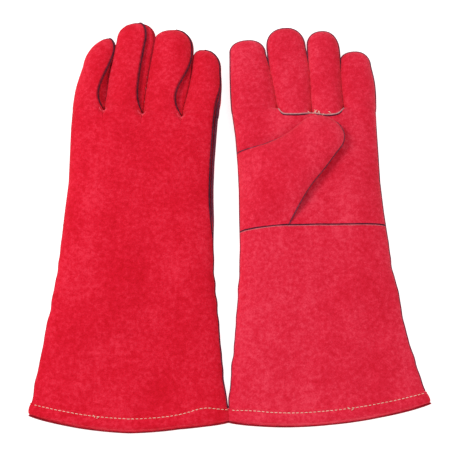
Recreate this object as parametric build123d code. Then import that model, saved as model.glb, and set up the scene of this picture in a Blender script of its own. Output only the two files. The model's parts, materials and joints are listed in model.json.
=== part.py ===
"""A pair of long leather welding gauntlets lying flat side by side, fingers towards +Y.

The left glove lies palm up with its thumb folded over the palm. The right glove lies palm down on its thumb.
Each is a one-piece back sewn to a palm, two inset finger fronts, a wing thumb and a flared cuff, all over a cloth
lining. Welts fill the seams and a bound, stitched hem edges the cuff. Fingers and thumbs bend at their base.

Every piece is first made in the glove's own frame: X across the hand, Y from the hem's corners to the fingertips,
Z out of the palm, with the hand's middle surface at Z = 0. The glove is then turned over if it lies palm down,
stood on the floor and turned into its place.
"""

import os
from dataclasses import dataclass
from math import asin, atan2, cos, degrees, radians, sin

from build123d import *

# Plies, mm
LEATHER = 1.5
LINING = 1.8
PLY_GAP = 0.05
WALL = LEATHER + PLY_GAP + LINING
WELT_THICK = 1.2
WELT_PROUD = 1.2
BINDING = 1.2
THREAD_WIDE = 0.8
THREAD_PROUD = 0.4

# Lengths along the glove, mm from the line through the hem's two corners
HEM_SAG = 12.0
BINDING_WIDE = 10.0
STITCH_LINE = 8.0
WRIST = 177.0
KNUCKLES = 295.0
HALF_WIDTHS = {
    -16: 93.0,
    20: 88.0,
    52: 82.6,
    84: 78.0,
    116: 73.9,
    148: 70.9,
    180: 69.0,
    245: 67.6,
    302: 69.4,
}
HEM_HALF_WIDTH = 91.0
HEM_FLAT_TO = 20
EDGE_ROUNDING = 0.7  # of the half thickness
FACETS = 4  # flat faces that round a quarter turn

# Clearances between pieces that move past each other, mm
JOINT_GAP = 0.4
FINGER_GAP = 0.6
SEAM_GAP = 0.02

FINGER_THICK = 19.0
FINGER_CORNER = 8.0
THUMB_TURN = 46.0  # degrees from across the hand to along the thumb
THUMB_HINGE = (-22.0, 234.0)
THUMB_BASE_WIDE = 48.0
THUMB_TIP_WIDE = 41.0
THUMB_LENGTH = 68.0
THUMB_CORNER = 5.0
WING_CORNERS = [(-66.0, 182.0), (-66.0, 255.0), (-46.0, 262.0), (-22.0, 182.0)]
WING_TOP_AT_SIDE = 1.0
FINGER_WELT_WIDE = 3.0
BIG = 400.0


@dataclass
class Finger:
    """Where a finger leaves the hand and where it ends, in the glove's own frame."""

    name: str
    base_across: float
    base_wide: float
    tip_across: float
    tip_wide: float
    length: float


@dataclass
class Glove:
    """One glove: its lie on the floor, its place in the pair and its fingers."""

    name: str
    palm_up: bool
    place: tuple  # of the hem's middle
    turn: float  # degrees about Z
    half_thick: float
    thumb_thick: float
    floor: float  # height in the glove's own frame that comes to rest on the floor
    cuff_drop: float  # how far the hem's middle surface lies towards the floor from the hand's
    fingers: list


LEFT = Glove(
    "left",
    palm_up=True,
    place=(96.5, -178.0),
    turn=3.8,
    half_thick=12.0,
    thumb_thick=14.0,
    floor=-12.0,
    cuff_drop=0.0,
    fingers=[
        Finger("index", -47.0, 42.0, -50.0, 34.0, 79.0),
        Finger("middle", -8.5, 33.0, -11.0, 33.0, 90.0),
        Finger("ring", 23.5, 31.0, 23.0, 32.0, 85.0),
        Finger("little", 54.0, 30.0, 52.5, 28.0, 62.0),
    ],
)
RIGHT = Glove(
    "right",
    palm_up=False,
    place=(-90.5, -183.0),
    turn=-2.2,
    half_thick=11.0,
    thumb_thick=12.0,
    floor=23.8,
    cuff_drop=12.8,
    fingers=[
        Finger("index", -54.0, 31.0, -49.0, 28.0, 80.0),
        Finger("middle", -20.5, 36.0, -14.0, 34.0, 99.0),
        Finger("ring", 15.5, 36.0, 20.5, 34.0, 93.0),
        Finger("little", 51.0, 35.0, 52.5, 31.0, 71.0),
    ],
)


def ring(u, v, t, half_wide, half_thick, corner):
    """Corners of a rounded rectangle standing across the glove at (u, v, t)."""
    points = []
    for quarter, (side, up) in enumerate([(1, 1), (-1, 1), (-1, -1), (1, -1)]):
        for step in range(FACETS + 1):
            turn = radians(90 * (quarter + step / FACETS))
            x = side * (half_wide - corner) + corner * cos(turn)
            z = up * (half_thick - corner) + corner * sin(turn)
            points.append((u + x, v, t + z))
    return points


def skin(rings):
    """The flat-sided solid through a row of rings."""
    faces = [Face(Wire.make_polygon(rings[0])), Face(Wire.make_polygon(rings[-1]))]
    for first, second in zip(rings, rings[1:]):
        for i in range(len(first)):
            corners = [first[i - 1], first[i], second[i], second[i - 1]]
            faces.append(Face(Wire.make_polygon(corners)))
    return Solid(Shell(faces))


def slab(x0, x1, y0, y1, z0, z1):
    """The box between two corners."""
    middle = ((x0 + x1) / 2, (y0 + y1) / 2, (z0 + z1) / 2)
    return Pos(*middle) * Box(x1 - x0, y1 - y0, z1 - z0)


def mid_height(glove, v):
    """Height of the hand's middle surface: flat in the hand, easing down to the floor along the cuff."""
    share = min(max((180 - v) / 160, 0.0), 1.0)
    return glove.cuff_drop * share * share * (3 - 2 * share)


def hand_body(glove, grow):
    """The hand and cuff as one solid, grown or shrunk all round."""
    rings = []
    for v, half_wide in HALF_WIDTHS.items():
        half = glove.half_thick - (BINDING if v <= HEM_FLAT_TO else 0)
        corner = half * EDGE_ROUNDING + grow
        rings.append(ring(0, v, mid_height(glove, v), half_wide + grow, half + grow, corner))
    return skin(rings)


def layer(glove, low, high):
    """Everything between two heights above the hand's middle surface."""
    spine = [(-BIG, mid_height(glove, -16))]
    spine += [(v, mid_height(glove, v)) for v in HALF_WIDTHS]
    spine += [(BIG, 0)]
    edge = [(0, v, t + low) for v, t in spine] + [(0, v, t + high) for v, t in reversed(spine)]
    return extrude(make_face(Polyline(*edge, close=True)), amount=BIG, dir=(1, 0, 0), both=True)


def past_hem(shift):
    """Everything on the fingers' side of the hem's curve moved by shift along the glove."""
    corner_left, corner_right = (-HEM_HALF_WIDTH, shift), (HEM_HALF_WIDTH, shift)
    curve = ThreePointArc(corner_left, (0, shift - HEM_SAG), corner_right)
    rest = Polyline(corner_right, (BIG, shift), (BIG, BIG), (-BIG, BIG), (-BIG, shift), corner_left)
    return extrude(make_face(curve + rest), amount=BIG, both=True)


def reach(v0, v1):
    """Everything between two distances along the glove."""
    return slab(-BIG, BIG, v0, v1, -BIG, BIG)


def wing_outline(inset):
    """The thumb wing's plan: the palm's corner between the side seam, the wrist and the thumb's hinge."""
    along, aside = thumb_directions()
    back_off = glove_thumb_radius_max() + JOINT_GAP
    middle = (THUMB_HINGE[0] - along[0] * back_off, THUMB_HINGE[1] - along[1] * back_off)
    half = THUMB_BASE_WIDE / 2
    upper = (middle[0] + aside[0] * half, middle[1] + aside[1] * half)
    lower = (middle[0] - aside[0] * half, middle[1] - aside[1] * half)
    corners = [WING_CORNERS[0], WING_CORNERS[1], WING_CORNERS[2], upper, lower, WING_CORNERS[3]]
    face = make_face(Polyline(*corners, close=True))
    return offset(face, -inset, kind=Kind.INTERSECTION) if inset else face


def thumb_directions():
    """Unit directions along the thumb and across it, towards the index finger, in the palm's plane."""
    turn = radians(THUMB_TURN)
    return (cos(turn), sin(turn)), (-sin(turn), cos(turn))


def glove_thumb_radius_max():
    return max(LEFT.thumb_thick, RIGHT.thumb_thick) / 2


def wing_tent(glove, inset):
    """The raised wing as a solid: its roof climbs from the side seam to the thumb's hinge."""
    palm, top = glove.half_thick, glove.half_thick + JOINT_GAP + glove.thumb_thick
    along, _ = thumb_directions()
    back_off = glove_thumb_radius_max() + JOINT_GAP
    far = WING_CORNERS[0]
    run = (THUMB_HINGE[0] - far[0]) * along[0] + (THUMB_HINGE[1] - far[1]) * along[1] - back_off
    low = palm + WING_TOP_AT_SIDE
    profile = [(-back_off - run, low - inset), (-back_off, top - inset), (-back_off + 30, top - inset)]
    profile += [(-back_off + 30, -2.0), (-back_off - run - 60, -2.0), (-back_off - run - 60, low - inset)]
    frame = Plane(origin=(*THUMB_HINGE, 0), x_dir=(*along, 0), z_dir=(along[1], -along[0], 0))
    under_roof = extrude(frame * make_face(Polyline(*profile, close=True)), amount=BIG, both=True)
    plan = extrude(wing_outline(inset), amount=BIG, both=True)
    return plan & under_roof


def wing_port(glove, inset):
    """The passage from the wing's inside out through its hinge side into the thumb."""
    half = THUMB_BASE_WIDE / 2 - inset
    bottom = glove.half_thick + JOINT_GAP + inset
    top = glove.half_thick + JOINT_GAP + glove.thumb_thick - inset
    local = slab(-half, half, -glove_thumb_radius_max() - JOINT_GAP - 2 * LEATHER, 0, bottom, top)
    return Pos(*THUMB_HINGE, 0) * Rot(0, 0, THUMB_TURN - 90) * local


def stall(base_wide, tip_wide, thick, corner, length, grow):
    """A finger-shaped solid along +Y: round tip in plan, and a base rounded about the hinge on the X axis."""
    base, tip = base_wide / 2 + grow, tip_wide / 2 + grow
    half, corner, end = thick / 2 + grow, corner + grow, length + grow
    rings = []
    for turn in (78, 60, 40, 20):
        part = cos(radians(turn))
        rings.append(ring(0, -half * sin(radians(turn)), 0, base, half * part, corner * part))
    rings.append(ring(0, 0, 0, base, half, corner))
    for turn in (0, 20, 40, 60, 78):
        v = end - tip + tip * sin(radians(turn))
        shy = max(corner - (end - v), 0)
        thin = half - corner + (corner**2 - shy**2) ** 0.5
        wide = tip * cos(radians(turn))
        rings.append(ring(0, v, 0, wide, thin, min(corner, thin, wide) * 0.98))
    return skin(rings)


def stall_pieces(base_wide, tip_wide, thick, corner, length):
    """A finger or thumb: back, front, the welt between them and the lining inside, about its hinge."""
    size = (base_wide, tip_wide, thick, corner, length)
    inner_half = base_wide / 2 - WALL - 1
    port = slab(-inner_half, inner_half, -thick, 1, -thick / 2 + WALL, thick / 2 - WALL)
    leather = stall(*size, 0) - stall(*size, -LEATHER) - port
    lining = stall(*size, -LEATHER - PLY_GAP) - stall(*size, -WALL) - port
    seam = slab(-BIG, BIG, 0, BIG, -WELT_THICK / 2 + SEAM_GAP, WELT_THICK / 2 - SEAM_GAP)
    return {
        "back": leather & slab(-BIG, BIG, -BIG, BIG, -BIG, -WELT_THICK / 2),
        "front": leather & slab(-BIG, BIG, -BIG, BIG, WELT_THICK / 2, BIG),
        "welt": (stall(*size, WELT_PROUD) - stall(*size, -LEATHER)) & seam,
        "lining": lining,
    }


def finger_frame(glove, finger):
    """Where a finger's hinge lies and how the finger points, in the glove's own frame."""
    half_thick = FINGER_THICK / 2
    run = finger.length - half_thick
    lean = atan2(finger.tip_across - finger.base_across, run)
    hinge_v = KNUCKLES + half_thick + abs(sin(lean)) * finger.base_wide / 2 + JOINT_GAP
    if glove.palm_up:
        height, pitch = glove.floor + half_thick, 0.0
    else:
        height = 0.0
        reach_out = KNUCKLES + finger.length - hinge_v - half_thick
        pitch = asin((glove.floor - half_thick - JOINT_GAP) / reach_out)
    return Pos(finger.base_across, hinge_v, height) * Rot(0, 0, -degrees(lean)) * Rot(degrees(pitch), 0, 0)


def finger_pieces(glove, finger):
    frame = finger_frame(glove, finger)
    narrower = 2 * WELT_PROUD + FINGER_GAP
    length = KNUCKLES + finger.length - frame.position.Y
    made = stall_pieces(
        finger.base_wide - narrower, finger.tip_wide - narrower, FINGER_THICK, FINGER_CORNER, length
    )
    return {f"{finger.name}_{kind}": frame * piece for kind, piece in made.items()}


def thumb_frame(glove):
    """Where the thumb's hinge lies and how the thumb points, in the glove's own frame."""
    height = glove.half_thick + JOINT_GAP + glove.thumb_thick / 2
    return Pos(*THUMB_HINGE, height) * Rot(0, 0, THUMB_TURN - 90)


def thumb_pieces(glove):
    base_wide, tip_wide = THUMB_BASE_WIDE - 2 * WELT_PROUD, THUMB_TIP_WIDE - 2 * WELT_PROUD
    made = stall_pieces(base_wide, tip_wide, glove.thumb_thick, THUMB_CORNER, THUMB_LENGTH)
    return {f"thumb_{kind}": thumb_frame(glove) * piece for kind, piece in made.items()}


def hand_pieces(glove):
    """The hand and cuff: panels, wing, welts, bound hem and lining."""
    solid = hand_body(glove, 0)
    hollow = hand_body(glove, -LEATHER)
    shell = (solid - hollow) & past_hem(BINDING) & reach(-BIG, KNUCKLES - JOINT_GAP)
    front = shell & layer(glove, WELT_THICK / 2, BIG)
    hole = extrude(wing_outline(2 * LEATHER), amount=BIG) & slab(-BIG, BIG, -BIG, BIG, 0, BIG)
    wing = wing_tent(glove, 0) - wing_tent(glove, LEATHER) - wing_port(glove, WALL) - hand_body(glove, 0)

    seam = layer(glove, -WELT_THICK / 2 + SEAM_GAP, WELT_THICK / 2 - SEAM_GAP)
    proud = hand_body(glove, WELT_PROUD) - hollow
    sides = proud & seam & past_hem(BINDING_WIDE + SEAM_GAP) & reach(-BIG, KNUCKLES - JOINT_GAP)
    wrist = proud & layer(glove, WELT_THICK / 2, BIG) & reach(WRIST - WELT_THICK / 2, WRIST + WELT_THICK / 2)
    middle, ring = glove.fingers[1], glove.fingers[2]
    left = middle.base_across - middle.base_wide / 2
    right = ring.base_across + ring.base_wide / 2
    base = (hand_body(glove, WELT_PROUD) - solid) & layer(glove, glove.half_thick / 2, BIG)
    base &= slab(left, right, KNUCKLES - JOINT_GAP - FINGER_WELT_WIDE, KNUCKLES - JOINT_GAP, -BIG, BIG)

    band = past_hem(0) - past_hem(BINDING_WIDE)
    edge = (hand_body(glove, SEAM_GAP) - hand_body(glove, -WALL - SEAM_GAP)) & past_hem(BINDING)
    binding = (hand_body(glove, BINDING) & band) - hand_body(glove, -WALL - BINDING) - edge
    line = past_hem(STITCH_LINE) - past_hem(STITCH_LINE + THREAD_WIDE)
    thread = (hand_body(glove, BINDING + THREAD_PROUD) - hand_body(glove, BINDING)) & line
    above_floor = (glove.floor, BIG) if glove.palm_up else (-BIG, glove.floor)
    thread &= slab(-BIG, BIG, -BIG, BIG, *above_floor)

    cloth = (hand_body(glove, -LEATHER - PLY_GAP) - hand_body(glove, -WALL)) & past_hem(BINDING + PLY_GAP)
    half_seam = WELT_THICK / 2
    return {
        "back_panel": shell & layer(glove, -BIG, -WELT_THICK / 2),
        "palm_panel": (front & reach(WRIST + half_seam, BIG)) - hole,
        "cuff_front": front & reach(-BIG, WRIST - half_seam),
        "thumb_wing": wing,
        "side_welts": sides,
        "palm_welts": wrist + base,
        "hem_binding": binding,
        "hem_stitching": thread,
        "hand_lining": (cloth & reach(WRIST + PLY_GAP, KNUCKLES - JOINT_GAP)) - hole,
        "cuff_lining": cloth & reach(-BIG, WRIST - PLY_GAP),
    }


def settle(glove):
    """Moves a piece from the glove's own frame to its place on the floor."""
    spot = Pos(*glove.place, -glove.floor if glove.palm_up else glove.floor) * Rot(0, 0, glove.turn)

    def moved(piece):
        return spot * (piece if glove.palm_up else mirror(piece, about=Plane.XY))

    return moved


def glove_pieces(glove):
    pieces = hand_pieces(glove)
    for finger in glove.fingers:
        pieces |= finger_pieces(glove, finger)
    pieces |= thumb_pieces(glove)
    moved = settle(glove)
    return {f"{glove.name}_{name}": moved(piece) for name, piece in pieces.items()}


def main():
    os.makedirs("parts", exist_ok=True)
    pieces = glove_pieces(LEFT) | glove_pieces(RIGHT)
    box = Compound(children=[s for p in pieces.values() for s in p.solids()]).bounding_box()
    centre = box.center()
    print("bounding box", box.size, "centre", centre)
    for name, piece in pieces.items():
        shifted = Pos(-centre.X, -centre.Y, 0) * Compound(children=list(piece.solids()))
        export_step(shifted, f"parts/{name}.step")


if __name__ == "__main__":
    main()
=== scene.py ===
"""Looks for a pair of long split-leather welding gauntlets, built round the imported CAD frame.

Each glove is worked out in its own frame, in mm: u across the hand from index to little finger, v from the
hem's corners towards the fingertips, and z up from the floor. A section across the glove is a seam height
with an upper and a lower sheet, and every ply of the glove is the same section grown or shrunk a little. A
row is a line across the glove, named by its v before the hem's sag and the slant of the knuckles are added.
"""

import json
import math

import bmesh
import bpy
import numpy as np
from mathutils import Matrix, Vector, noise


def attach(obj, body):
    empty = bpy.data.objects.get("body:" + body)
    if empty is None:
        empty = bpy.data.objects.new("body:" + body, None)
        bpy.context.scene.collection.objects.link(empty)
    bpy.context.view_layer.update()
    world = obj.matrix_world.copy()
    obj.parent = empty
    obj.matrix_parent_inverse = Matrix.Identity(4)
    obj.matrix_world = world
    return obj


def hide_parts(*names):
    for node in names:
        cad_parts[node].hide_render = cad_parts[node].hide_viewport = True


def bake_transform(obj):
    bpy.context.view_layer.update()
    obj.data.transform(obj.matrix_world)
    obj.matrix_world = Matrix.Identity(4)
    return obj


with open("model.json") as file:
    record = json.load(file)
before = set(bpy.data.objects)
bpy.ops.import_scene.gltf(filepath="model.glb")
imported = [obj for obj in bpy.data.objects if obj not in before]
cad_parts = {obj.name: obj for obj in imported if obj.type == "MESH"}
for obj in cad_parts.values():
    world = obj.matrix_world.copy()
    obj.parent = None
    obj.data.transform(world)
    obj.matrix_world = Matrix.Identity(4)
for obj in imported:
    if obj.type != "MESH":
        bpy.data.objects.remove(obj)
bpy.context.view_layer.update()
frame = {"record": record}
record = frame["record"]

MM = 0.001
TOP, BOTTOM = 1, -1
FINGERS = ("index", "middle", "ring", "little")
SKY = np.array([0.0, 0.0, 1.0])

# Rows and lengths along the glove
WRIST = 177.5
KNUCKLE_ROW = 297.0
HEM_SAG = 12.0
HEM_FADE = 70.0
HEM_SETBACK = 0.8
HEM_WIDE = 10.5
STITCH_ROW = 8.6
STITCH_PITCH = 3.8
STITCH_LONG = 3.1
ROLL_START, ROLL_STRETCH = 150.0, 60.0

# Where fingers and thumbs bend, from their hinges, and the spacing of rows
FINGER_BEND, THUMB_BEND = (-0.9, 24), (4.2, 24)
CUFF_STEP, HAND_STEP, WELT_STEP, LINING_STEP = 3.1, 2.8, 3.0, 5.0

# Plies: how thick the leather is, and how far inside its face each lining's two faces lie
LEATHER = 1.4
LINING = (-1.6, -3.3)
FINGER_LINING = (-1.7, -3.0)
THUMB_LINING = (-1.6, -2.9)
LINING_CLEAR = 5.0
LINING_ROWS_OFF = 4
FLOOR_GAP = 0.35
HEM_OFF_FLOOR = 1.3

# Columns across a finger, closest together at its edges, and rows along it and round its tip
FINGER_COLUMNS = 16
ACROSS = -np.cos(np.linspace(0, math.pi, FINGER_COLUMNS + 1))
FINGER_STEPS, TIP_STEPS = 25, 12
TIP_SQUARE = 2.3
OVERLAP = 0.5
RIDGE = 2.3
EDGE_WOBBLE = 0.8
HAND_HALF = 69.0

# The palm-down glove has rolled over a little: the seams towards the little finger show on top. A finger's
# roll is how far its seam moves in, the share of its length where it starts back out, and the share that
# takes.
SEAM_INSET = 0.8
SIDE_ROLL = 5.0
FINGER_ROLL = {"index": (7.6, 0.2, 0.8), "middle": (7.8, 0.9, 1.0), "ring": (10.4, 0.2, 0.75)}
ROLL_QUICK = 0.12
LITTLE_ROLL_END = 0.8
SEAM_COLUMN = 12
LITTLE_SEAM = 3 * FINGER_COLUMNS + SEAM_COLUMN

# Past the seam three columns go down the finger's side: their places on the way, and how high they stand
WALL_PLACES = [0.2, 0.55, 0.88]
WALLS = {
    "index": [0.4, 0.2, 0.1],
    "middle": [0.5, 0.78, 0.35],
    "ring": [0.5, 0.78, 0.35],
    "little": [0.45, 0.6, 0.6],
}
LINING_WALL = 0.2

# The thumb and its wing in plan: two edges from the wrist and side seams to where the round of the tip starts
WING_SHARE = 0.41
WING_ROWS = 14
THUMB_COLUMNS, THUMB_STEPS, THUMB_TIP_STEPS = 20, 18, 10
THUMB_UPPER = [(-66.8, 257.0), (-43.0, 258.0), (-22.0, 266.5), (-6.5, 277.0)]
THUMB_LOWER = [(-23.5, 179.0), (0.0, 214.2), (16.0, 232.5), (28.5, 248.0)]
WING_CORNER = (-67.2, 178.5)
THUMB_DIR = (0.703, 0.711)

# Places along and across a glove where its widths and its hem are given
STATIONS = [-14, 5, 20, 40, 60, 80, 100, 135, 165, 190, 220, 245, 275, 303]
SPREAD = [-1.0, -0.5, 0.0, 0.5, 1.0]

# hem and wrist: how far their lines move along v at SPREAD. puff: where the open hem bulges, as place and
# width across, and how far. half and middle: half width and centre line at STATIONS. bases: each finger's
# base, edge to edge. fingers: edges from the base to the shoulders of the tip, and the tip. seam, top and
# bottom: height of the side seams, and of each sheet above and below them. valley: how far the gaps between
# fingers reach into the hand, at its edges and in its middle. tuft: share of the half width where a loose
# thread stands at the hem.
GLOVES = {
    "left": {
        "palm_up": True,
        "nudge": -2.2,
        "hem": [-1.0, 0.8, 2.8, 3.8, 3.8],
        "puff": (-0.75, 0.2, 1.2),
        "wrist": [0.0, 1.2, -0.6, -2.2, -2.8],
        "half": [91.8, 91.2, 88.4, 84.3, 80.6, 78.2, 75.8, 71.2, 69.0, 67.9, 66.8, 67.0, 67.6, 69.1],
        "middle": [0.0, -0.6, -1.6, -2.6, -2.9, -2.6, -2.2, -1.8, -1.0, -1.0, -0.4, 0.4, 0.8, 0.6],
        "bases": [
            [(-68.6, 299.0), (-24.5, 301.0)],
            [(-24.5, 301.0), (-21.0, 295.8), (-13.0, 294.2), (7.8, 293.4)],
            [(7.8, 293.4), (22.0, 290.6), (33.0, 292.0), (38.5, 297.0)],
            [(38.5, 297.0), (69.6, 292.0)],
        ],
        "fingers": {
            "index": {
                "left": [(-67.3, 336.0), (-65.8, 362.0)],
                "right": [(-28.6, 340.0), (-32.8, 360.0)],
                "tip": (-49.0, 375.0),
            },
            "middle": {
                "left": [(-28.6, 340.0), (-29.2, 366.0)],
                "right": [(9.1, 340.0), (6.6, 364.0)],
                "tip": (-11.0, 385.8),
            },
            "ring": {
                "left": [(9.1, 340.0), (10.2, 364.0)],
                "right": [(39.4, 333.0), (39.6, 358.0)],
                "tip": (24.3, 380.0),
            },
            "little": {
                "left": [(39.4, 333.0), (41.2, 346.0)],
                "right": [(70.2, 326.0), (68.4, 340.0)],
                "tip": (54.0, 355.8),
            },
        },
        "seam": {"hem": 6.6, "hand": 9.6, "tip": 11.0},
        "top": {"hem": 6.6, "cuff": 9.6, "hand": 12.6, "finger": 9.6, "tip": 6.0},
        "bottom": {"hem": 6.4, "cuff": 9.2, "hand": 10.0, "finger": 10.2, "tip": 10.4},
        "thumb_thick": 13.6,
        "valley": (14.0, 1.7),
        "tuft": 0.2,
        "seed": 3.0,
    },
    "right": {
        "palm_up": False,
        "nudge": 3.3,
        "hem": [0.5, 0.0, 0.0, 2.6, 1.6],
        "puff": (0.74, 0.17, 4.5),
        "wrist": [0.0, 0.0, 0.0, 0.0, 0.0],
        "half": [90.4, 90.4, 88.4, 84.8, 82.3, 80.0, 77.0, 72.3, 70.4, 69.4, 68.0, 68.3, 69.2, 69.6],
        "middle": [0.0, -0.5, -1.0, -1.5, -1.5, -1.2, -1.3, -1.4, -1.6, -1.6, -1.4, -1.8, -1.8, -1.0],
        "bases": [
            [(-70.6, 293.0), (-40.5, 295.5)],
            [(-40.5, 295.5), (-3.4, 293.0)],
            [(-3.4, 293.0), (34.0, 291.5)],
            [(34.0, 291.5), (69.8, 290.0)],
        ],
        "fingers": {
            "index": {
                "left": [(-69.4, 318.0), (-64.4, 345.0)],
                "right": [(-37.6, 340.0), (-35.6, 362.0)],
                "tip": (-42.5, 376.6),
                "square": 1.75,
            },
            "middle": {
                "left": [(-37.6, 340.0), (-33.4, 374.0)],
                "right": [(-0.2, 340.0), (2.6, 374.0)],
                "tip": (-14.0, 394.4),
            },
            "ring": {
                "left": [(-0.2, 340.0), (3.2, 374.0)],
                "right": [(40.4, 335.0), (40.2, 364.0)],
                "tip": (20.5, 388.4),
            },
            "little": {
                "left": [(40.4, 335.0), (42.0, 356.0)],
                "right": [(69.9, 325.0), (68.4, 343.0)],
                "tip": (49.8, 367.6),
            },
        },
        "seam": {"hem": 6.6, "hand": 22.8, "tip": 11.0},
        "top": {"hem": 6.6, "cuff": 10.2, "hand": 12.4, "finger": 10.6, "tip": 7.4},
        "bottom": {"hem": 6.4, "cuff": 8.8, "hand": 9.6, "finger": 9.6, "tip": 10.4},
        "thumb_thick": 11.6,
        "valley": (12.0, 6.0),
        "tuft": -0.39,
        "seed": 11.0,
    },
}


def smooth(x):
    x = np.clip(x, 0.0, 1.0)
    return x * x * (3 - 2 * x)


def unit(vectors):
    return vectors / np.maximum(np.linalg.norm(vectors, axis=1)[:, None], 1e-12)


def pillow(f):
    """Height of a stuffed sheet against its tallest, at shares of the half width: flat with round edges."""
    return (1 - np.abs(f) ** 3.4) ** 0.5


def lump(u, v, seed, wave):
    """Smooth seeded noise over the glove, about -1 to 1."""
    flat = [noise.noise(Vector((a / wave, b / wave, seed))) for a, b in zip(np.ravel(u), np.ravel(v))]
    return np.reshape(flat, np.shape(u)) * 1.6


def curve(points, share):
    """A smooth line through a few points, at shares of its length."""
    p = np.asarray(points, float)
    knots = np.concatenate([[0], np.linalg.norm(np.diff(p, axis=0), axis=1).cumsum()])
    knots = knots / knots[-1]
    slope = np.gradient(p, knots, axis=0)
    share = np.clip(np.atleast_1d(share), 0, 1)
    i = np.clip(np.searchsorted(knots, share, side="right") - 1, 0, len(p) - 2)
    gap = (knots[i + 1] - knots[i])[:, None]
    t = (share - knots[i])[:, None] / gap
    ends = (2 * t**3 - 3 * t**2 + 1) * p[i] + (3 * t**2 - 2 * t**3) * p[i + 1]
    return ends + ((t**3 - 2 * t**2 + t) * slope[i] + (t**3 - t**2) * slope[i + 1]) * gap


def crowd(x, seam):
    """Shifts the columns of a finger so that the seam's column lies at the given share of the half width."""
    moved = (x + 1) * (seam + 1) / (x[SEAM_COLUMN] + 1) - 1
    moved[SEAM_COLUMN + 1 :] = seam + (1 - seam) * np.array([*WALL_PLACES, 1.0])
    return moved


def side_roll(row):
    """How much of the palm-down glove's roll shows at a row: none at the cuff, all of it at the hand."""
    return smooth((row - ROLL_START) / ROLL_STRETCH)


def finger_roll(name, share):
    """How far in from a finger's edge its seam runs, at a share of the way to the shoulder of its tip."""
    if name == "little":
        return SEAM_INSET + (SIDE_ROLL - SEAM_INSET) * (1 - smooth(share / LITTLE_ROLL_END))
    wide, start, stretch = FINGER_ROLL[name]
    return SEAM_INSET + wide * (1 - math.exp(-share / ROLL_QUICK)) * (1 - smooth((share - start) / stretch))


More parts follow.
